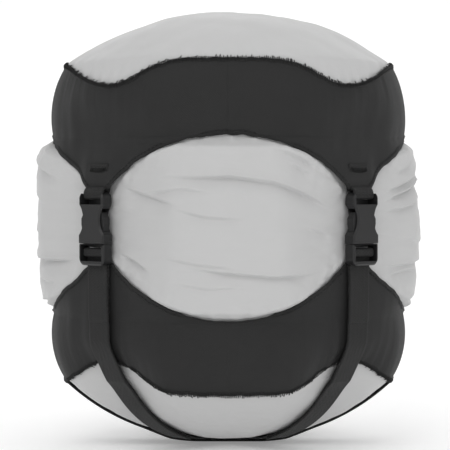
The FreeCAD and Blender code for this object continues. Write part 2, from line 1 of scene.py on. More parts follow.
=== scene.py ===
"""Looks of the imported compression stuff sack: cloth, bound yokes, webbing, stitching, plastic hardware.

Metres, +Z up, front towards -Y. Azimuth runs from the front (0) towards +X (90 degrees).
Every soft layer is a sheet on one rounded hull; folds and tension wrinkles move the sheet along its normal.
"""
import json
import math
import bpy
import numpy as np
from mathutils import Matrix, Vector


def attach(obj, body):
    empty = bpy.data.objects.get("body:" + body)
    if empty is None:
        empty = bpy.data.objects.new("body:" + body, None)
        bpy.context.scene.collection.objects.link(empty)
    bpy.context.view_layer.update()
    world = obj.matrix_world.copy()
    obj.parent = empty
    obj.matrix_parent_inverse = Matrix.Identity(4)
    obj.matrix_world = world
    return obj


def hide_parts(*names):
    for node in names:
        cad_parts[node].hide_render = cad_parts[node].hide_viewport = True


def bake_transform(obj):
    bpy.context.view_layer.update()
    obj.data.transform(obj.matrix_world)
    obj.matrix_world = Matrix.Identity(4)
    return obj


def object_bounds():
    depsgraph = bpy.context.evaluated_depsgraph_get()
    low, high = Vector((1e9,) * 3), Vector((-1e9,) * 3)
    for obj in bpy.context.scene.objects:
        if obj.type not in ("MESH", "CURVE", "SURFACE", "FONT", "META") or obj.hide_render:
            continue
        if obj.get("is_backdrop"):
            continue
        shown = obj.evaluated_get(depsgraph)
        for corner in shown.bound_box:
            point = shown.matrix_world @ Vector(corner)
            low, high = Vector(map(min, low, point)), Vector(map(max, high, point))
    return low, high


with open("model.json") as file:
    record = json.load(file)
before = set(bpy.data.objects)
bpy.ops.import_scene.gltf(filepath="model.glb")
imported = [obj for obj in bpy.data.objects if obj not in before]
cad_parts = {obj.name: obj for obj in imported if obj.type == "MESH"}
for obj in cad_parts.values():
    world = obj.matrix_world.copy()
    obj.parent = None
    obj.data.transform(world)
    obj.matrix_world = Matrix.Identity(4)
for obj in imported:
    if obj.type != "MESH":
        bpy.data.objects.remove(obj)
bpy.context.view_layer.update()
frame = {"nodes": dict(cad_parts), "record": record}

MM = 0.001
SEED = 7
CORNERS = {"front_left": -45.0, "front_right": 45.0, "rear_right": 135.0, "rear_left": 225.0}

# Hull sizes in millimetres, as in the CAD source.
BASE_Z, FLAT_R = 5.4, 30.0
SEAM_R, SEAM_Z = 86.5, 34.5
WAIST_R, LOW_WAIST_Z, TOP_WAIST_Z = 92.8, 70.5, 162.0
BULGE_R, BULGE_LOW_Z, BULGE_TOP_Z = 99.0, 75.0, 157.0
RIM_Z, CROWN_Z, CROWN_FLAT_R = 201.8, 230.2, 8.0
BASE_CURVE_R, YOKE_CURVE_R, BULGE_CURVE_R, LID_CURVE_R, CROWN_CURVE_R = 115.0, 44.0, 235.0, 57.0, 146.8
FLAT_DISTANCE, FLAT_SOFTENING = 90.0, 1.2
ARCH_R, LID_ARCH_Z, BASE_ARCH_Z = 76.0, 163.6, 71.0
LID_TAB_Z, BASE_TAB_Z = 136.0, 99.4
WEB_WIDE, WEB_THICK = 15.0, 1.1
STRAP_LIFT, LOW_STRAP_LIFT = 2.0, 0.7
TAIL_GAP = WEB_THICK + 0.1
FRAME_LOW_Z, BAR_LOW_Z, BAR_HIGH, SOCKET_TOP_Z = 97.8, 103.3, 2.2, 134.7
WRAP_DEEP, TACK_Z = 5.0, 145.4
NECK_FOOT_Z, NECK_R, NECK_Z = 204.0, 16.0, 211.0
# The hull's profile is sampled at this arc length, and its corners are averaged over this many samples.
PROFILE_STEP, CORNER_SOFTENING = 0.25, 17
# How deep the straps press into the hull above the base, how high up, and over what height.
PINCH_DEEP, PINCH_Z, PINCH_TALL = 9.5, 39.0, 22.0
# Mean radius that turns degrees round the sack into millimetres for cloth relief.
HULL_R = 95.0


# ---------------------------------------------------------------- hull

def arc_points(start, end, radius, count=40):
    """Points of an arc that bulges away from the sack's inside, which lies to the left of the way."""
    p, q = np.array(start), np.array(end)
    chord = q - p
    length = np.hypot(*chord)
    out = np.array([chord[1], -chord[0]]) / length
    centre = (p + q) / 2 - out * math.sqrt(radius ** 2 - length ** 2 / 4)
    a = math.atan2(*(p - centre)[::-1])
    b = math.atan2(*(q - centre)[::-1])
    turn = np.linspace(a, b, count)
    return np.stack([centre[0] + radius * np.cos(turn), centre[1] + radius * np.sin(turn)], 1)


def build_profile():
    """The hull's half outline from the middle of the base to the middle of the crown, by arc length."""
    parts = [
        np.array([(0.0, BASE_Z), (FLAT_R, BASE_Z)]),
        arc_points((FLAT_R, BASE_Z), (SEAM_R, SEAM_Z), BASE_CURVE_R),
        arc_points((SEAM_R, SEAM_Z), (WAIST_R, LOW_WAIST_Z), YOKE_CURVE_R),
        arc_points((BULGE_R, BULGE_LOW_Z), (BULGE_R, BULGE_TOP_Z), BULGE_CURVE_R),
        arc_points((WAIST_R, TOP_WAIST_Z), (SEAM_R, RIM_Z), LID_CURVE_R),
        arc_points((SEAM_R, RIM_Z), (CROWN_FLAT_R, CROWN_Z), CROWN_CURVE_R),
        np.array([(0.0, CROWN_Z)]),
    ]
    points = np.concatenate(parts)
    steps = np.hypot(*np.diff(points, axis=0).T)
    points = points[np.concatenate([[True], steps > 1e-6])]
    s = np.concatenate([[0], np.cumsum(np.hypot(*np.diff(points, axis=0).T))])
    even = np.arange(0, s[-1], PROFILE_STEP)
    r, z = np.interp(even, s, points[:, 0]), np.interp(even, s, points[:, 1])
    kernel = np.hanning(CORNER_SOFTENING)
    kernel /= kernel.sum()
    pad = len(kernel) // 2
    r = np.convolve(np.concatenate([-r[pad:0:-1], r, -r[-2:-pad - 2:-1]]), kernel, "valid")
    z = np.convolve(np.concatenate([z[pad:0:-1], z, z[-2:-pad - 2:-1]]), kernel, "valid")
    dr, dz = np.gradient(r), np.gradient(z)
    size = np.hypot(dr, dz)
    return even, r, z, dz / size, -dr / size


S, R, Z, NR, NZ = build_profile()


def s_at_z(z):
    """Arc length at a height on the side of the sack."""
    return np.interp(z, Z, S)


def diagonal_offset(azimuth):
    """Degrees to the nearest diagonal, signed."""
    return (np.asarray(azimuth) % 90.0) - 45.0


def plateau(x, flat, end):
    """1 within flat, easing to 0 at end."""
    t = np.clip((np.abs(x) - flat) / (end - flat), 0, 1)
    return 1 - t * t * (3 - 2 * t)


def surface(azimuth, s, lift, taut=0.0):
    """Points of the hull, lifted along its normal, flattened and pulled in where the straps press.

    taut (0 to 1) draws the cloth straight between a yoke's seam and its points instead of bulging."""
    azimuth, s, lift, taut = np.broadcast_arrays(np.asarray(azimuth, float), s, lift, taut)
    r, z = np.interp(s, S, R), np.interp(s, S, Z)
    tight = np.interp(z, [70.0, 84.0, 100.0, 116.0, 133.0, 150.0, 163.0],
                      [93.4, 95.2, 95.8, 96.2, 95.8, 95.4, 93.6])
    between = (z > 70.0) & (z < 163.0)
    r = np.where(between, r - taut * np.clip(r - tight, 0, None), r)
    nr, nz = np.interp(s, S, NR), np.interp(s, S, NZ)
    off = diagonal_offset(azimuth)
    pinch = PINCH_DEEP * plateau(off, 5.5, 27.0) * np.exp(-((z - PINCH_Z) / PINCH_TALL) ** 2)
    r = r + (lift - pinch) * nr
    z = z + (lift - pinch) * nz
    flat = (FLAT_DISTANCE + lift) / np.cos(np.radians(off))
    over = FLAT_SOFTENING * np.logaddexp(0, (r - flat) / FLAT_SOFTENING)
    side = plateau(z - 116.0, 50.0, 70.0)
    r = r - over * side
    a = np.radians(azimuth)
    return np.stack([r * np.sin(a), -r * np.cos(a), z], -1) * MM


def across_and_height(azimuth, s):
    """Distance from the nearer of the two upright middle planes, and height, of taut hull points."""
    p = surface(azimuth, s, 0.8, 1.0) / MM
    return np.minimum(np.abs(p[..., 0]), np.abs(p[..., 1])), p[..., 2]


def lid_edge(azimuth):
    """Arc length of the lid yoke's lower edge: four arches, flat on top and steep beside the points."""
    s = np.arange(s_at_z(LID_TAB_Z), s_at_z(175.0), 0.1)
    across, z = across_and_height(azimuth[:, None], s[None, :])
    arch = LID_ARCH_Z - 6.9 * (across / 34.1) ** 2 - 1.4 * (across / 49.4) ** 9.7
    return s[np.argmax(z > arch, axis=1)]


def base_edge(azimuth):
    """Arc length of the base yoke's upper edge, four round arches."""
    s = np.arange(s_at_z(BASE_TAB_Z), s_at_z(50.0), -0.1)
    across, z = across_and_height(azimuth[:, None], s[None, :])
    outside = np.hypot(across, z - BASE_ARCH_Z - ARCH_R) > ARCH_R
    return s[np.argmax(outside, axis=1)]


def crown_seam(azimuth):
    """Arc length of the crown seam. It dips beside each strap and climbs more slowly to the two sides."""
    from_front = np.abs((np.asarray(azimuth) + 90.0) % 180.0 - 90.0)
    lowest = 39.0
    width = np.where(from_front < lowest, 13.5, 23.5)
    dip = np.exp(-((from_front - lowest) / width) ** 2)
    return s_at_z(200.4 + 1.4 * from_front / 90.0 - 12.8 * dip)


def base_seam(azimuth):
    """Arc length of the base seam, drawn up at the straps, more broadly on the two sides."""
    off = diagonal_offset(azimuth)
    broad = 14.5 + 6.0 * np.sin(np.radians(azimuth)) ** 2
    return s_at_z(SEAM_Z + 0.3 + 12.0 * np.exp(-(off / broad) ** 2))


# ---------------------------------------------------------------- cloth relief

def ripple(u, v, seed, scale, octaves=3):
    """Smooth irregular relief from summed waves of random direction, about -1 to 1."""
    rng = np.random.default_rng(seed)
    total = np.zeros(np.broadcast(u, v).shape)
    weight = 1.0
    for octave in range(octaves):
        for _ in range(5):
            angle = rng.uniform(0, math.pi)
            k = 2 * math.pi * 2 ** octave / scale * rng.uniform(0.7, 1.3)
            bend = 0.8 * np.sin(v / scale * rng.uniform(1, 3) + rng.uniform(0, 6))
            total += weight * np.sin(k * (u * math.cos(angle) + v * math.sin(angle))
                                     + rng.uniform(0, 6.3) + bend)
        weight *= 0.45
    return total / 5.0


def fold(u, v, path, depth, width):
    """A crease with a soft roll above it, following a path of (u, v) points and fading at its ends."""
    points = np.array(path, float)
    best = np.full(u.shape, 1e9)
    signed = np.zeros(u.shape)
    along = np.zeros(u.shape)
    total = np.hypot(*np.diff(points, axis=0).T).sum()
    run = 0.0
    for p, q in zip(points[:-1], points[1:]):
        way = q - p
        length = np.hypot(*way)
        t = np.clip(((u - p[0]) * way[0] + (v - p[1]) * way[1]) / length ** 2, 0, 1)
        du, dv = u - p[0] - t * way[0], v - p[1] - t * way[1]
        dist = np.hypot(du, dv)
        near = dist < best
        sign = np.sign(way[0] * dv - way[1] * du)
        best = np.where(near, dist, best)
        signed = np.where(near, dist * sign, signed)
        along = np.where(near, run + t * length, along)
        run += length
    ends = np.clip(np.minimum(along, total - along) / (0.35 * total), 0, 1)
    fade = ends * ends * (3 - 2 * ends)
    step = np.tanh(signed / 0.38)
    above = np.exp(-np.clip(signed, 0, None) / (2.6 * width))
    below = np.exp(-np.clip(-signed, 0, None) / (2.0 * width))
    lip = np.where(signed > 0, 0.9 * step * above, 0.55 * step * below)
    valley = -0.5 * np.exp(-(signed / (3.5 * width)) ** 2)
    return 1.25 * depth * fade * (lip + valley)


FRONT_FOLDS = [
    ([(-40, 143), (-20, 142), (0, 142.5), (22, 139.5), (42, 133), (66, 124)], 2.3, 1.5),
    ([(-64, 137.5), (-46, 133.5), (-24, 128)], 1.7, 1.6),
    ([(-52, 133), (-24, 136.5), (-4, 134)], 1.1, 1.8),
    ([(-30, 127), (-12, 122.5), (10, 121)], 1.0, 1.6),
    ([(-67, 104.5), (-54, 100.5), (-42, 95)], 1.8, 1.4),
    ([(-24, 98), (-6, 95.5), (22, 93), (54, 94)], 2.0, 1.5),
    ([(-36, 103), (-14, 99), (6, 97)], 0.9, 1.8),
    ([(-30, 90), (-10, 87), (12, 88)], 0.7, 1.8),
    ([(22, 157), (36, 152), (50, 146)], 1.3, 2.2),
    ([(30, 150), (46, 143)], 0.8, 1.8),
    ([(40, 118), (62, 112)], 0.7, 2.0),
]
LEFT_FOLDS = [
    ([(-176, 103), (-160, 104), (-140, 99.5), (-120, 99.5), (-98, 100)], 2.6, 1.5),
    ([(-172, 78.5), (-150, 77), (-128, 79)], 2.0, 1.4),
    ([(-172, 160), (-152, 153), (-132, 147), (-112, 139)], 1.8, 1.6),
    ([(-176, 131), (-150, 134), (-124, 128)], 0.7, 2.2),
    ([(-166, 116), (-138, 113)], 0.6, 2.2),
    ([(-150, 90), (-118, 87)], 0.8, 1.8),
]
RIGHT_FOLDS = [
    ([(104, 134), (120, 138), (142, 146), (166, 156)], 2.6, 1.6),
    ([(104, 129.5), (122, 134), (146, 141), (176, 140)], 2.8, 1.5),
    ([(102, 125), (120, 126), (140, 130), (158, 133)], 1.5, 1.5),
    ([(114, 143), (128, 149), (142, 156)], 1.2, 1.6),
    ([(102, 96), (124, 97), (150, 98.5), (176, 97)], 1.6, 1.6),
    ([(106, 91), (128, 94), (150, 94.5)], 1.2, 1.6),
    ([(124, 78), (146, 79.5), (170, 78)], 1.7, 1.4),
    ([(112, 112), (140, 108), (168, 111)], 0.7, 2.2),
]
REAR_FOLDS = [
    ([(262, 145), (290, 149), (318, 148), (340, 141)], 1.4, 1.6),
    ([(254, 128), (276, 124), (298, 126)], 1.0, 1.6),
    ([(306, 131), (330, 134), (372, 129)], 1.3, 1.5),
    ([(256, 104), (284, 100), (312, 98), (336, 101)], 1.4, 1.6),
    ([(318, 93), (346, 90), (368, 95)], 1.0, 1.5),
    ([(272, 88), (296, 86)], 0.8, 1.5),
    ([(300, 114), (322, 111), (350, 113)], 0.6, 2.1),
]


def side_relief(azimuth, z, away):
    """Relief of the light side cloth: long folds, pinched at straps, puckered where the yokes grip it."""
    wrap_at, side_r = 112.0, 102.0
    u = ((azimuth + wrap_at) % 360.0 - wrap_at) * math.radians(1) * side_r
    relief = 0.8 * ripple(u * 0.4, z, SEED, 40.0, 2) + 0.24 * ripple(u * 0.35, z, SEED + 1, 11.0, 2)
    relief = relief + 2.6 * np.exp(-((azimuth - 270.0) / 34.0) ** 2 - ((z - 148.0) / 14.0) ** 2)
    for path, depth, width in FRONT_FOLDS + LEFT_FOLDS + RIGHT_FOLDS + REAR_FOLDS:
        relief = relief + fold(u, z, path, depth, width)
    off = diagonal_offset(azimuth)
    relief *= 1 - 0.8 * plateau(off, 4.0, 14.0)
    pucker = ripple(u, z, SEED + 2, 8.5, 2) * np.exp(-np.clip(away, 0, None) / 6.0)
    radial = ripple(u * 0.25, z, SEED + 3, 7.0, 2) * plateau(off, 7.0, 22.0)
    return relief + 0.75 * pucker + 0.40 * radial


def free_distance(azimuth, s):
    """Distance from the nearest yoke edge, negative where a yoke covers the cloth."""
    return np.minimum(lid_edge_at(azimuth) - s, s - base_edge_at(azimuth))


def hidden_tuck(away):
    """1 where the side cloth is gripped by a yoke, easing to 0 a few millimetres past the edge."""
    t = np.clip((away + 1.0) / 3.6, 0, 1)
    return 1 - t * t * (3 - 2 * t)


AZ_TABLE = np.arange(-0.5, 361.0, 0.25)
LID_TABLE = lid_edge(AZ_TABLE)
BASE_TABLE = base_edge(AZ_TABLE)


def lid_edge_at(azimuth):
    return np.interp(np.asarray(azimuth) % 360.0, AZ_TABLE, LID_TABLE)


def base_edge_at(azimuth):
    return np.interp(np.asarray(azimuth) % 360.0, AZ_TABLE, BASE_TABLE)


# ---------------------------------------------------------------- mesh helpers

def mesh_object(name, points, faces, uv=None, material=None, smooth=True):
    mesh = bpy.data.meshes.new(name)
    mesh.from_pydata([tuple(p) for p in points], [], faces)
    if uv is not None:
        layer = mesh.uv_layers.new(name="UVMap")
        index = np.zeros(len(mesh.loops), np.int32)
        mesh.loops.foreach_get("vertex_index", index)
        layer.data.foreach_set("uv", np.asarray(uv, np.float32)[index].ravel())
    if smooth:
        mesh.shade_smooth()
    thing = bpy.data.objects.new(name, mesh)
    bpy.context.scene.collection.objects.link(thing)
    if material is not None:
        mesh.materials.append(material)
    return thing


def sheet(name, points, uv, material, wrap=False, thick=0.0):
    """Grid of points (rows, columns, 3) as a mesh, thickened inwards when thick is given."""
    rows, cols = points.shape[:2]
    index = np.arange(rows * cols).reshape(rows, cols)
    if wrap:
        index = np.concatenate([index, index[:, :1]], axis=1)
    quads = np.stack([index[:-1, :-1], index[:-1, 1:], index[1:, 1:], index[1:, :-1]], -1).reshape(-1, 4)
    thing = mesh_object(name, points.reshape(-1, 3), quads.tolist(), uv.reshape(-1, 2), material)
    if thick:
        bake(thing, "SOLIDIFY", thickness=thick * MM, offset=-1.0)
    return thing


def bake(thing, kind, **settings):
    """Adds a modifier and applies it."""
    modifier = thing.modifiers.new(kind.title(), kind)
    for key, value in settings.items():
        setattr(modifier, key, value)
    bpy.context.view_layer.update()
    graph = bpy.context.evaluated_depsgraph_get()
    mesh = bpy.data.meshes.new_from_object(thing.evaluated_get(graph))
    thing.modifiers.clear()
    old = thing.data
    thing.data = mesh
    bpy.data.meshes.remove(old)
    return thing


def hull_sheet(name, azimuth, low, high, rows, relief, lift, material, thick, taut=0.0, wrap=True):
    """Sheet on the hull between two arc-length edges. Relief is a function of azimuth and arc length."""
    t = np.linspace(0, 1, rows)[:, None]
    s = low[None, :] * (1 - t) + high[None, :] * t
    a = np.broadcast_to(azimuth[None, :], s.shape)
    points = surface(a, s, lift + relief(a, s), taut)
    uv = np.stack([np.radians(a) * 0.095, s * MM], -1)
    return sheet(name, points, uv, material, wrap, thick)


def tube(name, path, radius, material, sides=8, closed=False):
    """Round tube along a path of points in metres."""
    path = np.asarray(path, float)
    ahead = np.roll(path, -1, 0) - np.roll(path, 1, 0)
    if not closed:
        ahead[0], ahead[-1] = path[1] - path[0], path[-1] - path[-2]
    ahead /= np.linalg.norm(ahead, axis=1)[:, None] + 1e-12
    guide = np.tile([0.0, 0.0, 1.0], (len(path), 1))
    steep = np.abs(ahead[:, 2]) > 0.9
    guide[steep] = [1.0, 0.0, 0.0]
    side = np.cross(ahead, guide)
    side /= np.linalg.norm(side, axis=1)[:, None] + 1e-12
    up = np.cross(side, ahead)
    turn = np.linspace(0, 2 * math.pi, sides, endpoint=False)
    ring = (side[:, None] * np.cos(turn)[None, :, None] + up[:, None] * np.sin(turn)[None, :, None])
    points = path[:, None] + ring * radius
    count = len(path)
    faces = []
    for i in range(count if closed else count - 1):
        j = (i + 1) % count
        for k in range(sides):
            m = (k + 1) % sides
            faces.append((i * sides + k, i * sides + m, j * sides + m, j * sides + k))
    if not closed:
        faces.append(tuple(range(sides))[::-1])
        faces.append(tuple((count - 1) * sides + k for k in range(sides)))
    along = np.arange(count)[:, None] * np.ones(sides)[None, :]
    uv = np.stack([turn[None, :] * np.ones((count, 1)) * radius, along * radius], -1).reshape(-1, 2)
    return mesh_object(name, points.reshape(-1, 3), faces, uv, material)


def band(name, centre, normal, side, wide, thick, material, ribs=5):
    """Webbing along a path: slightly rounded edges and shallow lengthwise ribs on both faces."""
    half, edge = wide / 2, thick / 2
    across = np.linspace(-half + edge, half - edge, 21)
    rib = 0.018 * np.cos(across / half * math.pi * ribs)
    top = [(u, thick / 2 + h) for u, h in zip(across, rib)]
    bottom = [(u, -thick / 2 - h) for u, h in zip(across[::-1], rib[::-1])]
    right = [(half - edge * (1 - math.cos(t)), edge * math.sin(t) * 0.8) for t in (0.9, 0.0, -0.9)]
    left = [(-u, -v) for u, v in right]
    section = np.array(top + right + bottom + left) * MM
    points = (centre[:, None] + side[:, None] * section[None, :, 0, None]
              + normal[:, None] * section[None, :, 1, None])
    rows, cols = points.shape[:2]
    faces = []
    for i in range(rows - 1):
        for k in range(cols):
            m = (k + 1) % cols
            faces.append((i * cols + k, (i + 1) * cols + k, (i + 1) * cols + m, i * cols + m))
    faces.append(tuple(range(cols)))
    faces.append(tuple((rows - 1) * cols + k for k in range(cols))[::-1])
    run = np.concatenate([[0], np.cumsum(np.linalg.norm(np.diff(centre, axis=0), axis=1))])
    uv = np.stack([np.broadcast_to(section[None, :, 0], (rows, cols)),
                   np.broadcast_to(run[:, None], (rows, cols))], -1).reshape(-1, 2)
    return mesh_object(name, points.reshape(-1, 3), faces, uv, material)


# ---------------------------------------------------------------- materials

def shader(name, colour, roughness, sheen=0.0, gloss=0.5):
    """Principled material and its node tree."""
    made = bpy.data.materials.new(name)
    made.use_nodes = True
    body = made.node_tree.nodes["Principled BSDF"]
    body.inputs["Base Color"].default_value = (*colour, 1)
    body.inputs["Roughness"].default_value = roughness
    body.inputs["Specular IOR Level"].default_value = gloss
    body.inputs["Sheen Weight"].default_value = sheen
    body.inputs["Sheen Roughness"].default_value = 0.4
    return made, made.node_tree, body


def node(tree, kind, **values):
    made = tree.nodes.new(kind)
    for key, value in values.items():
        if key in made.inputs:
            made.inputs[key].default_value = value
        else:
            setattr(made, key, value)
    return made


def weave(tree, body, coordinate, pitch_u, pitch_v, strength, mottling, mottle_scale, colour):
    """Plain weave as two crossed waves for the bump, and mottled colour."""
    split = node(tree, "ShaderNodeSeparateXYZ")
    tree.links.new(coordinate, split.inputs[0])
    waves = []
    for axis, pitch in (("X", pitch_u), ("Y", pitch_v)):
        scaled = node(tree, "ShaderNodeMath", operation="MULTIPLY")
        scaled.inputs[1].default_value = 2 * math.pi / pitch
        tree.links.new(split.outputs[axis], scaled.inputs[0])
        wave = node(tree, "ShaderNodeMath", operation="SINE")
        tree.links.new(scaled.outputs[0], wave.inputs[0])
        waves.append(wave.outputs[0])
    crossed = node(tree, "ShaderNodeMath", operation="MULTIPLY")
    tree.links.new(waves[0], crossed.inputs[0])
    tree.links.new(waves[1], crossed.inputs[1])
    bump = node(tree, "ShaderNodeBump", Strength=strength, Distance=0.0002)
    tree.links.new(crossed.outputs[0], bump.inputs["Height"])
    cloudy = node(tree, "ShaderNodeTexNoise", Scale=mottle_scale, Detail=4.0)
    place = node(tree, "ShaderNodeTexCoord")
    tree.links.new(place.outputs["Object"], cloudy.inputs["Vector"])
    ramp = node(tree, "ShaderNodeMapRange")
    ramp.inputs["To Min"].default_value = 1 - mottling
    ramp.inputs["To Max"].default_value = 1 + mottling
    tree.links.new(cloudy.outputs["Fac"], ramp.inputs["Value"])
    tint = node(tree, "ShaderNodeVectorMath", operation="SCALE")
    tint.inputs[0].default_value = colour
    tree.links.new(ramp.outputs[0], tint.inputs["Scale"])
    tree.links.new(tint.outputs[0], body.inputs["Base Color"])
    soft = node(tree, "ShaderNodeBump", Strength=0.25, Distance=0.0006)
    crumple = node(tree, "ShaderNodeTexNoise", Scale=170.0, Detail=3.0)
    tree.links.new(place.outputs["Object"], crumple.inputs["Vector"])
    tree.links.new(crumple.outputs["Fac"], soft.inputs["Height"])
    tree.links.new(bump.outputs["Normal"], soft.inputs["Normal"])
    tree.links.new(soft.outputs["Normal"], body.inputs["Normal"])


def cloth_material(name, colour, roughness, sheen, pitch, strength, mottling, gloss=0.2):
    made, tree, body = shader(name, colour, roughness, sheen, gloss)
    coordinate = node(tree, "ShaderNodeUVMap").outputs["UV"]
    weave(tree, body, coordinate, pitch, pitch, strength, mottling, 60.0, colour)
    return made


def webbing_material(name, colour):
    """Coarse ribbed weave with a dull shine."""
    made, tree, body = shader(name, colour, 0.62, 0.04, 0.2)
    coordinate = node(tree, "ShaderNodeUVMap").outputs["UV"]
    weave(tree, body, coordinate, 0.0011, 0.0016, 0.8, 0.15, 220.0, colour)
    return made


def plastic_material(name, colour, roughness):
    """Moulded plastic with fine texture and rubbed patches."""
    made, tree, body = shader(name, colour, roughness, 0.0, 0.35)
    place = node(tree, "ShaderNodeTexCoord")
    grain = node(tree, "ShaderNodeTexNoise", Scale=1400.0, Detail=2.0)
    tree.links.new(place.outputs["Object"], grain.inputs["Vector"])
    bump = node(tree, "ShaderNodeBump", Strength=0.12, Distance=0.0001)
    tree.links.new(grain.outputs["Fac"], bump.inputs["Height"])
    tree.links.new(bump.outputs["Normal"], body.inputs["Normal"])
    worn = node(tree, "ShaderNodeTexNoise", Scale=90.0, Detail=5.0)
    tree.links.new(place.outputs["Object"], worn.inputs["Vector"])
    ramp = node(tree, "ShaderNodeMapRange")
    ramp.inputs["To Min"].default_value = roughness - 0.08
    ramp.inputs["To Max"].default_value = roughness + 0.12
    tree.links.new(worn.outputs["Fac"], ramp.inputs["Value"])
    tree.links.new(ramp.outputs[0], body.inputs["Roughness"])
    return made


def metal_material(name):
    made, _, body = shader(name, (0.5, 0.5, 0.52), 0.25)
    body.inputs["Metallic"].default_value = 1.0
    return made


LIGHT = cloth_material("LightNylon", (0.53, 0.53, 0.53), 0.58, 0.2, 0.0007, 0.12, 0.02, 0.35)
DARK = cloth_material("DarkNylon", (0.0225, 0.0225, 0.0225), 0.66, 0.04, 0.0008, 0.35, 0.10)
TAPE = webbing_material("EdgeTape", (0.018, 0.018, 0.018))
WEB = webbing_material("Webbing", (0.017, 0.017, 0.017))
THREAD = cloth_material("Thread", (0.012, 0.012, 0.012), 0.7, 0.1, 0.0004, 0.3, 0.1)
CORD = cloth_material("Cord", (0.03, 0.03, 0.03), 0.6, 0.2, 0.0009, 0.6, 0.1)
BUCKLE = plastic_material("BucklePlastic", (0.0145, 0.0145, 0.015), 0.40)
LOCK = plastic_material("LockPlastic", (0.02, 0.02, 0.02), 0.38)
STEEL = metal_material("SpringSteel")


# ---------------------------------------------------------------- soft pieces

def column_azimuths(step=0.5):
    return np.arange(0, 360, step)


def bag_side():
    """The light cloth between the yokes, from the base seam to its gathered neck."""
    azimuth = column_azimuths(0.5)
    low = base_seam(azimuth)
    high = np.full_like(azimuth, s_at_z(RIM_Z - 1.5))
    rows = 330
    t = np.linspace(0, 1, rows)[:, None]
    s = low[None, :] * (1 - t) + high[None, :] * t
    a = np.broadcast_to(azimuth[None, :], s.shape)
    z = np.interp(s, S, Z)
    away = free_distance(a, s)
    tuck = hidden_tuck(away)
    lift = side_relief(a, z, away) * (1 - tuck) - 0.6 * tuck
    side = surface(a, s, lift, tuck)
    steps = np.linspace(0, 1, 60)[:, None]
    rim = surface(azimuth, high, np.full_like(azimuth, -0.9))
    rim_r = np.hypot(rim[:, 0], rim[:, 1])[None, :] / MM
    r = rim_r + (NECK_R + 2.0 - rim_r) * steps
    pleat_count = 26
    ang = np.radians(azimuth)[None, :]
    wave = np.sin(ang * pleat_count + 1.3 * np.sin(ang * 5))
    grow = np.clip((60 - r) / 42, 0, 1)
    top_z = 201.3 + 1.2 * steps + 1.5 * grow * wave + 0.3 * ripple(r, np.degrees(azimuth)[None, :], 3, 40)
    top = np.stack([r * np.sin(ang), -r * np.cos(ang), np.minimum(top_z, NECK_FOOT_Z)], -1) * MM
    up = np.linspace(0, 1, 14)[1:, None]
    neck_r = NECK_R + 2.0 + 0.9 * wave * (1 - 0.4 * up) - 0.6 * np.sin(up * math.pi)
    neck_z = np.broadcast_to(NECK_FOOT_Z + (NECK_Z - NECK_FOOT_Z - 2.0) * up, neck_r.shape)
    neck = np.stack([neck_r * np.sin(ang), -neck_r * np.cos(ang), neck_z], -1) * MM
    points = np.concatenate([side, top[1:], neck], 0)
    run = np.concatenate([[0], np.cumsum(np.linalg.norm(np.diff(points[:, 0], axis=0), axis=1))])
    uv = np.stack([np.broadcast_to(np.radians(azimuth)[None, :] * 0.1, points.shape[:2]),
                   np.broadcast_to(run[:, None], points.shape[:2])], -1)
    made = sheet("bag_side_cloth", points, uv, LIGHT, wrap=True, thick=0.5)
    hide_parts("bag_body")
    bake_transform(made)


def base_panel():
    """Light cloth under the base."""
    azimuth = column_azimuths(1.0)
    low = np.full_like(azimuth, 1.0)
    high = base_seam(azimuth) + 1.0

    def relief(a, s):
        u, v = np.radians(a) * 70, s
        return 0.55 * ripple(u, v, 21, 30.0) * np.clip((s - 20) / 30, 0, 1)
    made = hull_sheet("base_panel_cloth", azimuth, low, high, 70, relief, 0.0, LIGHT, 0.5)
    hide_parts("base_panel")
    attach(made, "base")


def yoke_relief(a, s, seed):
    """Faint drag lines between the straps and a soft overall unevenness."""
    u = np.radians(a) * HULL_R
    off = diagonal_offset(a)
    lines = ripple(u, s * 0.22, seed + 1, 17.0, 2)
    drag = 0.34 * lines * plateau(np.abs(off) - 13, 6, 17)
    return drag + 0.62 * ripple(u, s * 0.5, seed, 44.0, 2) * (1 - 0.7 * plateau(off, 6, 12))


def seam_drag(a, away, seed):
    """Short tucks that run square to a seam and die out over a centimetre or two."""
    lines = ripple(np.radians(a) * HULL_R, away * 0.05, seed, 6.5, 2)
    side = 0.35 + 0.65 * plateau(diagonal_offset(a), 12.0, 30.0)
    return 0.45 * lines * side * np.exp(-np.clip(away, 0, None) / 9.0)


def tab_lift(a, s):
    """How far each lid point is lifted by the webbing sewn behind it."""
    z = np.interp(s, S, Z)
    rise = np.clip((161.0 - z) / 22.0, 0, 1)
    return 2.7 * plateau(diagonal_offset(a), 5.2, 12.0) * rise * rise * (3 - 2 * rise)


def lid_yoke():
    """Dark lid yoke with four points, its edge tape and the thread along the crown seam."""
    azimuth = column_azimuths(0.4)
    low, high = lid_edge_at(azimuth), crown_seam(azimuth)

    def relief(a, s):
        edge = np.clip((s - lid_edge_at(a)) / 8.0, 0, 1)
        seam = 0.3 + 0.7 * np.clip((crown_seam(a) - s) / 10, 0, 1)
        tucks = seam_drag(a, crown_seam(a) - s, 36)
        return (yoke_relief(a, s, 31) + tucks) * edge * seam + tab_lift(a, s)
    made = hull_sheet("lid_yoke_cloth", azimuth, low, high, 46, relief, 1.0, DARK, 0.7, taut=1.0)
    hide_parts("lid_yoke")
    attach(made, "lid")
    edge_tape("lid_yoke_edge_tape", azimuth, low, 1, "lid")
    edge_tape("crown_seam_tape", azimuth, high, -1, "lid", 2.2, 0.6)


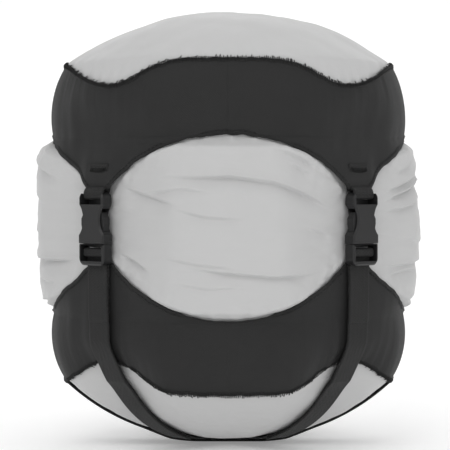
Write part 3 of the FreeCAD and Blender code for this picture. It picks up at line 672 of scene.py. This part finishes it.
def base_yoke():
    """Dark base yoke with four points and its edge tape."""
    azimuth = column_azimuths(0.4)
    low, high = base_seam(azimuth), base_edge_at(azimuth)

    def relief(a, s):
        edge = np.clip((base_edge_at(a) - s) / 8.0, 0, 1)
        from_front = np.abs((a + 90.0) % 180.0 - 90.0)
        pull = 1.1 * np.exp(-((from_front - 36.5) / 1.7) ** 2 - ((s - base_seam(a) - 9.0) / 13.0) ** 2)
        tucks = seam_drag(a, s - base_seam(a), 52)
        soft = (yoke_relief(a, s, 47) + tucks) * (0.3 + 0.7 * np.clip((s - base_seam(a)) / 10, 0, 1))
        return (soft + pull) * edge
    made = hull_sheet("base_yoke_cloth", azimuth, low, high, 46, relief, 1.0, DARK, 0.7, taut=1.0)
    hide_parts("base_yoke")
    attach(made, "base")
    edge_tape("base_yoke_edge_tape", azimuth, high, -1, "base")
    edge_tape("base_seam_tape", azimuth, low, 1, "base", 2.2, 0.6)


def edge_path(azimuth, edge, inward, lift):
    """Points along a yoke edge on the hull, with their outward and inward-pointing directions."""
    line = surface(azimuth, edge, lift, 1.0)
    ahead = np.roll(line, -1, 0) - np.roll(line, 1, 0)
    ahead /= np.linalg.norm(ahead, axis=1)[:, None]
    out = surface(azimuth, edge, lift + 1.0, 1.0) - line
    out /= np.linalg.norm(out, axis=1)[:, None]
    return line, out, np.cross(out, ahead) * inward


def smooth_loop(values, times=6):
    for _ in range(times):
        values = (np.roll(values, 1, 0) + 2 * values + np.roll(values, -1, 0)) / 4
    return values


def edge_tape(name, azimuth, edge, inward, body, wide=2.6, wander=0.42):
    """Binding folded over a yoke edge: a strip with a rounded section."""
    edge = smooth_loop(edge)
    rise = tab_lift(azimuth, edge) if body == "lid" else np.zeros_like(azimuth)
    line, out, across = edge_path(azimuth, edge, inward, 0.9 + rise)
    across, out = smooth_loop(across), smooth_loop(out)
    across /= np.linalg.norm(across, axis=1)[:, None]
    turn = np.linspace(1.15 * math.pi, -0.05 * math.pi, 13)
    section = np.stack([wide / 2 * (1 + np.cos(turn)), 0.42 * np.sin(turn) + 0.15], 1)
    wobble = wander * ripple(np.radians(azimuth) * HULL_R, edge * 0.3, 77, 9.0, 2)
    line = line - across * wobble[:, None] * MM
    points = (line[None] + across[None] * section[:, 0, None, None] * MM - across[None] * 0.6 * MM
              + out[None] * section[:, 1, None, None] * MM)
    run = np.concatenate([[0], np.cumsum(np.linalg.norm(np.diff(line, axis=0), axis=1))])
    uv = np.stack([np.broadcast_to(section[:, 0, None] * MM, points.shape[:2]),
                   np.broadcast_to(run[None, :], points.shape[:2])], -1)
    made = sheet(name, points, uv, TAPE, wrap=True)
    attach(made, body)
    stitches(name + "_thread", line + across * (wide - 1.2) * MM + out * 0.52 * MM, out, body)


def stitches(name, line, out, body, pitch=2.4, long=1.7, radius=0.17):
    """A row of lock stitches along a closed line, each a short five-sided tube that dips at its ends."""
    gaps = np.linalg.norm(np.roll(line, -1, 0) - line, axis=1)
    run = np.concatenate([[0], np.cumsum(gaps)])
    closed = np.concatenate([line, line[:1]])
    outs = np.concatenate([out, out[:1]])
    count = int(run[-1] / (pitch * MM))
    points, faces = [], []
    sides = 5
    for i in range(count):
        at = (i + 0.5) * run[-1] / count
        rows = []
        for t in np.linspace(-0.5, 0.5, 5):
            d = at + t * long * MM
            centre = np.array([np.interp(d, run, closed[:, k]) for k in range(3)])
            up = np.array([np.interp(d, run, outs[:, k]) for k in range(3)])
            centre = centre + up * radius * MM * (0.9 - 5.0 * t * t)
            rows.append((centre, up))
        way = rows[-1][0] - rows[0][0]
        way /= np.linalg.norm(way) + 1e-12
        base = len(points)
        for j, (centre, up) in enumerate(rows):
            side = np.cross(way, up)
            size = radius * (0.45 if j in (0, 4) else 1.0) * MM
            for k in range(sides):
                w = 2 * math.pi * k / sides
                points.append(centre + (side * math.cos(w) + up * math.sin(w)) * size)
        for j in range(4):
            for k in range(sides):
                m = (k + 1) % sides
                faces.append((base + j * sides + k, base + j * sides + m,
                              base + (j + 1) * sides + m, base + (j + 1) * sides + k))
    points = np.array(points)
    made = mesh_object(name, points, faces, points[:, [0, 2]], THREAD)
    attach(made, body)


def overlock(name, azimuth_edge, lift, body, flip, seed):
    """Ragged overlock threads over a seam between dark and light cloth."""
    rng = np.random.default_rng(seed)
    pitch = 0.95
    count = int(2 * math.pi * 90 / pitch)
    azimuth = np.arange(count) * 360.0 / count
    edge = azimuth_edge(azimuth)
    pieces, faces = [], []
    sides = 5
    for i in range(count):
        reach = (0.7 + 1.5 * rng.random() ** 2) * flip
        path_a = azimuth[i] + np.array([0, 0.15, 0.35, 0.5]) * 360 / count + rng.normal(0, 0.06)
        path_s = edge[i] + np.array([-1.1 * flip, -0.1 * flip, 0.6 * reach, reach])
        centre = surface(path_a, path_s, lift + np.array([0.1, 0.75, 0.6, 0.0]))
        way = centre[-1] - centre[0]
        way /= np.linalg.norm(way)
        up = surface(path_a, path_s, lift + 1.0) - surface(path_a, path_s, lift)
        up /= np.linalg.norm(up, axis=1)[:, None]
        base = len(pieces)
        for j in range(4):
            side = np.cross(way, up[j])
            size = 0.31 * MM * (0.6 if j in (0, 3) else 1.0)
            for k in range(sides):
                w = 2 * math.pi * k / sides
                pieces.append(centre[j] + (side * math.cos(w) + up[j] * math.sin(w)) * size)
        for j in range(3):
            for k in range(sides):
                m = (k + 1) % sides
                faces.append((base + j * sides + k, base + j * sides + m,
                              base + (j + 1) * sides + m, base + (j + 1) * sides + k))
    points = np.array(pieces)
    made = mesh_object(name, points, faces, points[:, [0, 2]], THREAD)
    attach(made, body)


def lid_crown():
    """Light crown panel, puckered along its seam."""
    azimuth = column_azimuths(0.5)
    low = crown_seam(azimuth) - 0.5
    high = np.full_like(azimuth, S[-1] - 0.05)

    def relief(a, s):
        inward = s - crown_seam(a)
        turn = np.radians(a)
        pucker = 0.35 * np.sin(turn * 62 + 2.5 * np.sin(turn * 9)) * np.exp(-(inward / 9.0) ** 2)
        x = np.interp(s, S, R) * np.sin(turn)
        y = -np.interp(s, S, R) * np.cos(turn)
        soft = 1.1 * ripple(x, y, 5, 62.0, 3) * np.clip(inward / 20.0, 0, 1)
        return pucker + soft - 0.6 * np.exp(-(inward / 2.0) ** 2)
    made = hull_sheet("lid_crown_cloth", azimuth, low, high, 110, relief, 0.9, LIGHT, 0.6)
    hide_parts("lid_crown")
    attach(made, "lid")


# ---------------------------------------------------------------- webbing pieces

def diagonal_frame(azimuth):
    a = math.radians(azimuth)
    out = np.array([math.sin(a), -math.cos(a), 0.0])
    side = np.array([math.cos(a), math.sin(a), 0.0])
    return out, side


def hull_band(name, azimuth, s, lift, shift):
    """Webbing that follows the hull up one azimuth, shifted sideways."""
    side = diagonal_frame(azimuth)[1]
    az = np.full_like(s, azimuth)
    inner = surface(az, s, lift)
    centre = surface(az, s, lift + WEB_THICK / 2)
    ahead = np.gradient(centre, axis=0)
    ahead /= np.linalg.norm(ahead, axis=1)[:, None]
    sides = np.tile(side, (len(s), 1))
    normal = np.cross(sides, ahead)
    normal *= np.sign((normal * (centre - inner)).sum(1))[:, None]
    centre = centre + sides * np.asarray(shift)[..., None] * MM
    return band(name, centre, normal, sides, WEB_WIDE, WEB_THICK, WEB)


def strap_lift(s):
    """Lift of a load strap: close to the cloth under the base, higher where it crosses the yoke."""
    t = np.clip((s - 86.0) / 18.0, 0, 1)
    return LOW_STRAP_LIFT + (STRAP_LIFT - LOW_STRAP_LIFT) * t * t * (3 - 2 * t)


def straps():
    """At each corner: load strap, tail, wrap round the ladder bar, lid webbing and its bar tack."""
    rng = np.random.default_rng(SEED)
    top = s_at_z(FRAME_LOW_Z + 1.2)
    for corner, azimuth in CORNERS.items():
        s = np.linspace(60.0, top, 90)
        sway = 0.5 * np.sin(s / 17.0 + rng.uniform(0, 6)) * np.clip((top - s) / 30, 0, 1)
        run = hull_band("load_strap_" + corner, azimuth, s, strap_lift(s), sway)
        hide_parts("strap_" + corner)
        s = np.linspace(36.0, top, 110)
        lean = 1.2 * (1 if azimuth < 0 or azimuth > 180 else -1) * np.clip((top - s) / 25, 0, 1)
        held = np.clip((top - s) / 12, 0, 1) * np.clip((s - 80) / 15, 0, 1)
        slack = 0.4 * np.sin((top - s) / 15.0) ** 2 * held
        lift = strap_lift(s) + TAIL_GAP + slack
        tail = hull_band("free_tail_" + corner, azimuth, s, lift, lean + sway.mean())
        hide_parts("strap_tail_" + corner)
        for piece in (run, tail):
            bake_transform(piece)
        wrap(corner, azimuth)
        lid_webbing(corner, azimuth)


def loop_band(name, azimuth, path, wide):
    """Webbing whose centre line lies in the vertical plane of one azimuth: path of (distance, height)."""
    out, side = diagonal_frame(azimuth)
    path = np.array(path)
    centre = (out[None] * path[:, :1] + np.array([[0, 0, 1.0]]) * path[:, 1:]) * MM
    ahead = np.gradient(centre, axis=0)
    ahead /= np.linalg.norm(ahead, axis=1)[:, None]
    sides = np.tile(side, (len(path), 1))
    return band(name, centre, np.cross(sides, ahead), sides, wide, WEB_THICK, WEB)


def half_turn(centre_y, centre_z, radius_y, radius_z, start, end, count=12):
    turn = np.linspace(math.radians(start), math.radians(end), count)
    return [(centre_y + radius_y * math.cos(t), centre_z + radius_z * math.sin(t)) for t in turn]


def wrap(corner, azimuth):
    """Webbing up behind the ladder bar, over it, down its face and back in front of the load strap."""
    near = FLAT_DISTANCE + STRAP_LIFT
    back, front, tail = near + 0.55, near + WRAP_DEEP - 0.55, near + 1.75
    bar_top = BAR_LOW_Z + BAR_HIGH
    low = FRAME_LOW_Z + 0.3
    path = [(back, z) for z in np.linspace(low, bar_top - 0.3, 10)]
    path += half_turn((back + front) / 2, bar_top, (front - back) / 2, 0.75, 175, 5)
    path += [(front, z) for z in np.linspace(bar_top - 0.5, BAR_LOW_Z + 0.2, 4)]
    path += half_turn((tail + front) / 2, BAR_LOW_Z, (front - tail) / 2, 0.75, -5, -80, 5)
    path += [(tail + 0.3, BAR_LOW_Z - 1.0), (tail, BAR_LOW_Z - 1.7), (tail, low + 1.5), (tail, low)]
    made = loop_band("strap_wrap_" + corner, azimuth, path, WEB_WIDE)
    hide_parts("strap_loop_" + corner)
    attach(made, "plug_" + corner)


def ribbed(path, pitch=1.1, high=0.13, step=0.2):
    """The same path with fine cross ribs of the weave, each a half wave high."""
    path = np.array(path)
    run = np.concatenate([[0], np.cumsum(np.hypot(*np.diff(path, axis=0).T))])
    along = np.linspace(0, run[-1], int(run[-1] / step))
    y, z = np.interp(along, run, path[:, 0]), np.interp(along, run, path[:, 1])
    dy, dz = np.gradient(y), np.gradient(z)
    length = np.hypot(dy, dz)
    lift = high * (np.abs(np.sin(math.pi * along / pitch)) - 0.5)
    return list(zip(y + lift * dz / length, z - lift * dy / length))


def lid_webbing(corner, azimuth):
    """Folded webbing from under the lid point round the socket's crossbar."""
    near = FLAT_DISTANCE + STRAP_LIFT
    back, front = near + 0.55, near + WRAP_DEEP - 0.55
    behind = FLAT_DISTANCE + 1.5
    top, sewn_z = SOCKET_TOP_Z, 149.0
    turn_z = top - BAR_HIGH - 0.1
    path = [(behind, z) for z in np.linspace(sewn_z, top + 3.6, 8)]
    path += [(behind + 0.2, top + 2.2), (back - 0.3, top + 0.6), (back, top - 0.8), (back, turn_z + 0.4)]
    path += half_turn((back + front) / 2, turn_z, (front - back) / 2, 0.75, 180, 360)
    path += [(front, turn_z + 0.8), (front, top - 0.6), (front - 0.2, top + 0.3), (front - 0.9, top + 1.6)]
    path += [(behind + 1.9, top + 2.6), (behind + 1.3, top + 3.8), (behind + 1.15, top + 6.0),
             (behind + 1.15, sewn_z)]
    made = loop_band("lid_web_" + corner, azimuth, ribbed(path), WEB_WIDE)
    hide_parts("lid_webbing_" + corner)
    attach(made, "lid")
    bar_tack("bar_tack_" + corner, azimuth, TACK_Z, "lid")


def bar_tack(name, azimuth, z, body):
    """Dense zigzag of thread across a lid point, through the webbing behind it."""
    count = 19
    u = (np.arange(count * 2 + 1) / (2 * count) - 0.5) * (WEB_WIDE - 2.5)
    s = s_at_z(z + np.where(np.arange(len(u)) % 2, 1.1, -1.1) + 0.02 * u * u)
    a = azimuth + np.degrees(u / 96.0)
    path = surface(a, s, 1.2 + tab_lift(a, s), 1.0)
    made = tube(name, path, 0.26 * MM, THREAD, sides=5)
    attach(made, body)


def under_webbing():
    """Crossed straps and the pull handle under the base."""
    for name, azimuth, extra in (("base_strap_upper", -45.0, 0.0), ("base_strap_lower", 45.0, 1.0)):
        reach = np.linspace(-60.6, 60.6, 120)
        s = np.abs(reach)
        step = (WEB_THICK + 0.15) * extra * plateau(reach, 8.0, 12.0)
        lift = LOW_STRAP_LIFT + step
        side = diagonal_frame(azimuth)[1]
        half = surface(np.full_like(s, azimuth), s, lift + WEB_THICK / 2)
        flat = half * np.where(reach < 0, -1.0, 1.0)[:, None]
        flat[:, 2] = half[:, 2]
        ahead = np.gradient(flat, axis=0)
        ahead /= np.linalg.norm(ahead, axis=1)[:, None]
        sides = np.tile(side, (len(s), 1))
        made = band(name + "_web", flat, np.cross(ahead, sides), sides, WEB_WIDE, WEB_THICK, WEB)
        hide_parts(name)
        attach(made, "base")
    handle()


def handle():
    """Pull handle across the base, sewn down at both ends."""
    reach = np.linspace(-94.5, 94.5, 160)
    s = np.abs(reach)
    lift = 0.4 + 2.9 * plateau(reach, 16.0, 48.0)
    azimuth = np.where(reach < 0, -90.0, 90.0)
    centre = surface(azimuth, s, lift + 0.5)
    ahead = np.gradient(centre, axis=0)
    ahead /= np.linalg.norm(ahead, axis=1)[:, None]
    sides = np.tile([0.0, 1.0, 0.0], (len(s), 1))
    made = band("base_handle_web", centre, np.cross(ahead, sides), sides, 20.0, 1.0, WEB, ribs=7)
    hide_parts("base_handle")
    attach(made, "base")


# ---------------------------------------------------------------- neck and hardware

def neck_hem():
    """Gathered hem that holds the drawcord."""
    turn = np.linspace(0, 2 * math.pi, 320, endpoint=False)
    ring = np.linspace(0, 2 * math.pi, 20, endpoint=False)
    wave = np.sin(turn * 30 + 1.2 * np.sin(turn * 4))
    minor = 3.0 + 0.45 * wave[:, None] * (0.6 + 0.4 * np.cos(ring)[None, :])
    major = NECK_R + 0.4 * np.sin(turn * 13)[:, None]
    r = major + minor * np.cos(ring)[None, :]
    z = NECK_Z + minor * np.sin(ring)[None, :]
    points = np.stack([r * np.sin(turn)[:, None], -r * np.cos(turn)[:, None], z], -1) * MM
    points = np.concatenate([points, points[:, :1]], 1)
    uv = np.stack([np.broadcast_to(turn[:, None] * 0.02, points.shape[:2]),
                   np.broadcast_to(np.linspace(0, 0.019, 21)[None, :], points.shape[:2])], -1)
    made = sheet("neck_hem_cloth", np.swapaxes(points, 0, 1), np.swapaxes(uv, 0, 1), LIGHT, wrap=True)
    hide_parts("neck_hem")
    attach(made, "top")


def paint_nodes():
    """Finishes for the hard parts, which stay the CAD solids."""
    finish = {"buckle_plastic": BUCKLE, "lock_plastic": LOCK, "cord": CORD, "spring_steel": STEEL,
              "light_nylon": LIGHT, "dark_nylon": DARK, "webbing": WEB}
    for row in frame["record"]["subparts"]:
        thing = frame["nodes"][row["node"]]
        thing.data.materials.clear()
        thing.data.materials.append(finish[row["material_slot"]])
        if row["material_slot"] in ("buckle_plastic", "lock_plastic"):
            bevel = thing.modifiers.new("Bevel", "BEVEL")
            bevel.width = 0.25 * MM
            bevel.segments = 3
            bevel.limit_method = "ANGLE"
            bevel.angle_limit = math.radians(35)
            bevel.harden_normals = False


# ---------------------------------------------------------------- stage

def see_through_back(tree, body):
    """Lets a view from behind or below look through the sweep, which still takes light in front."""
    facing = tree.nodes.new("ShaderNodeNewGeometry")
    clear = tree.nodes.new("ShaderNodeBsdfTransparent")
    mix = tree.nodes.new("ShaderNodeMixShader")
    output = next(node for node in tree.nodes if node.type == "OUTPUT_MATERIAL")
    tree.links.new(facing.outputs["Backfacing"], mix.inputs[0])
    tree.links.new(body.outputs[0], mix.inputs[1])
    tree.links.new(clear.outputs[0], mix.inputs[2])
    tree.links.new(mix.outputs[0], output.inputs["Surface"])


def stage():
    """Pale seamless sweep, soft lights from above and the front, and a long-lens camera."""
    scene = bpy.context.scene
    world = bpy.data.worlds.new("Studio")
    scene.world = world
    world.use_nodes = True
    world.node_tree.nodes["Background"].inputs[0].default_value = (1, 1, 1, 1)
    world.node_tree.nodes["Background"].inputs[1].default_value = 0.56
    curve = [(-4.0, 0.0), (0.5, 0.0), (0.9, 0.02), (1.3, 0.15), (1.6, 0.45), (1.7, 1.0), (1.7, 3.0)]
    points = np.array([[(-5.0, y, z), (5.0, y, z)] for y, z in curve])
    uv = points[..., :2]
    made, tree, body = shader("Sweep", (0.9, 0.9, 0.9), 0.9)
    body.inputs["Emission Color"].default_value = (1, 1, 1, 1)
    body.inputs["Emission Strength"].default_value = 0.23
    see_through_back(tree, body)
    floor = sheet("sweep", points, uv, made)
    below = 0.2 * MM
    floor.location.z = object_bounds()[0][2] - below
    floor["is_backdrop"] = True
    for name, place, size, power in (
            ("key", (-0.45, -1.35, 1.3), 1.1, 6.4), ("fill", (0.8, -1.3, 0.8), 1.3, 3.4),
            ("top", (0.0, 0.1, 1.5), 1.2, 3.0), ("back", (0.0, 1.3, 0.9), 1.0, 2.0)):
        lamp = bpy.data.lights.new(name, "AREA")
        lamp.shape = "DISK"
        lamp.size = size
        lamp.energy = power
        thing = bpy.data.objects.new(name, lamp)
        thing.location = place
        thing.rotation_euler = (Vector((0, 0, 0.1)) - Vector(place)).to_track_quat("-Z", "Y").to_euler()
        scene.collection.objects.link(thing)
        thing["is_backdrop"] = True
    data = bpy.data.cameras.new("Camera")
    data.sensor_width = 36.0
    view_angle = math.radians(13.2)
    data.lens = data.sensor_width / (2 * math.tan(view_angle / 2))
    camera = bpy.data.objects.new("Camera", data)
    camera.location = (0.0, -1.05, 0.136)
    aim = Vector((-0.0019, 0, 0.117)) - camera.location
    camera.rotation_euler = aim.to_track_quat("-Z", "Y").to_euler()
    scene.collection.objects.link(camera)
    scene.camera = camera
    camera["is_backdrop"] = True
    scene.view_settings.view_transform = "Standard"


bag_side()
base_panel()
lid_yoke()
base_yoke()
lid_crown()
overlock("crown_seam_thread", crown_seam, 1.3, "lid", 1, 3)
overlock("base_seam_thread", base_seam, 1.2, "base", -1, 4)
straps()
under_webbing()
neck_hem()
paint_nodes()
stage()
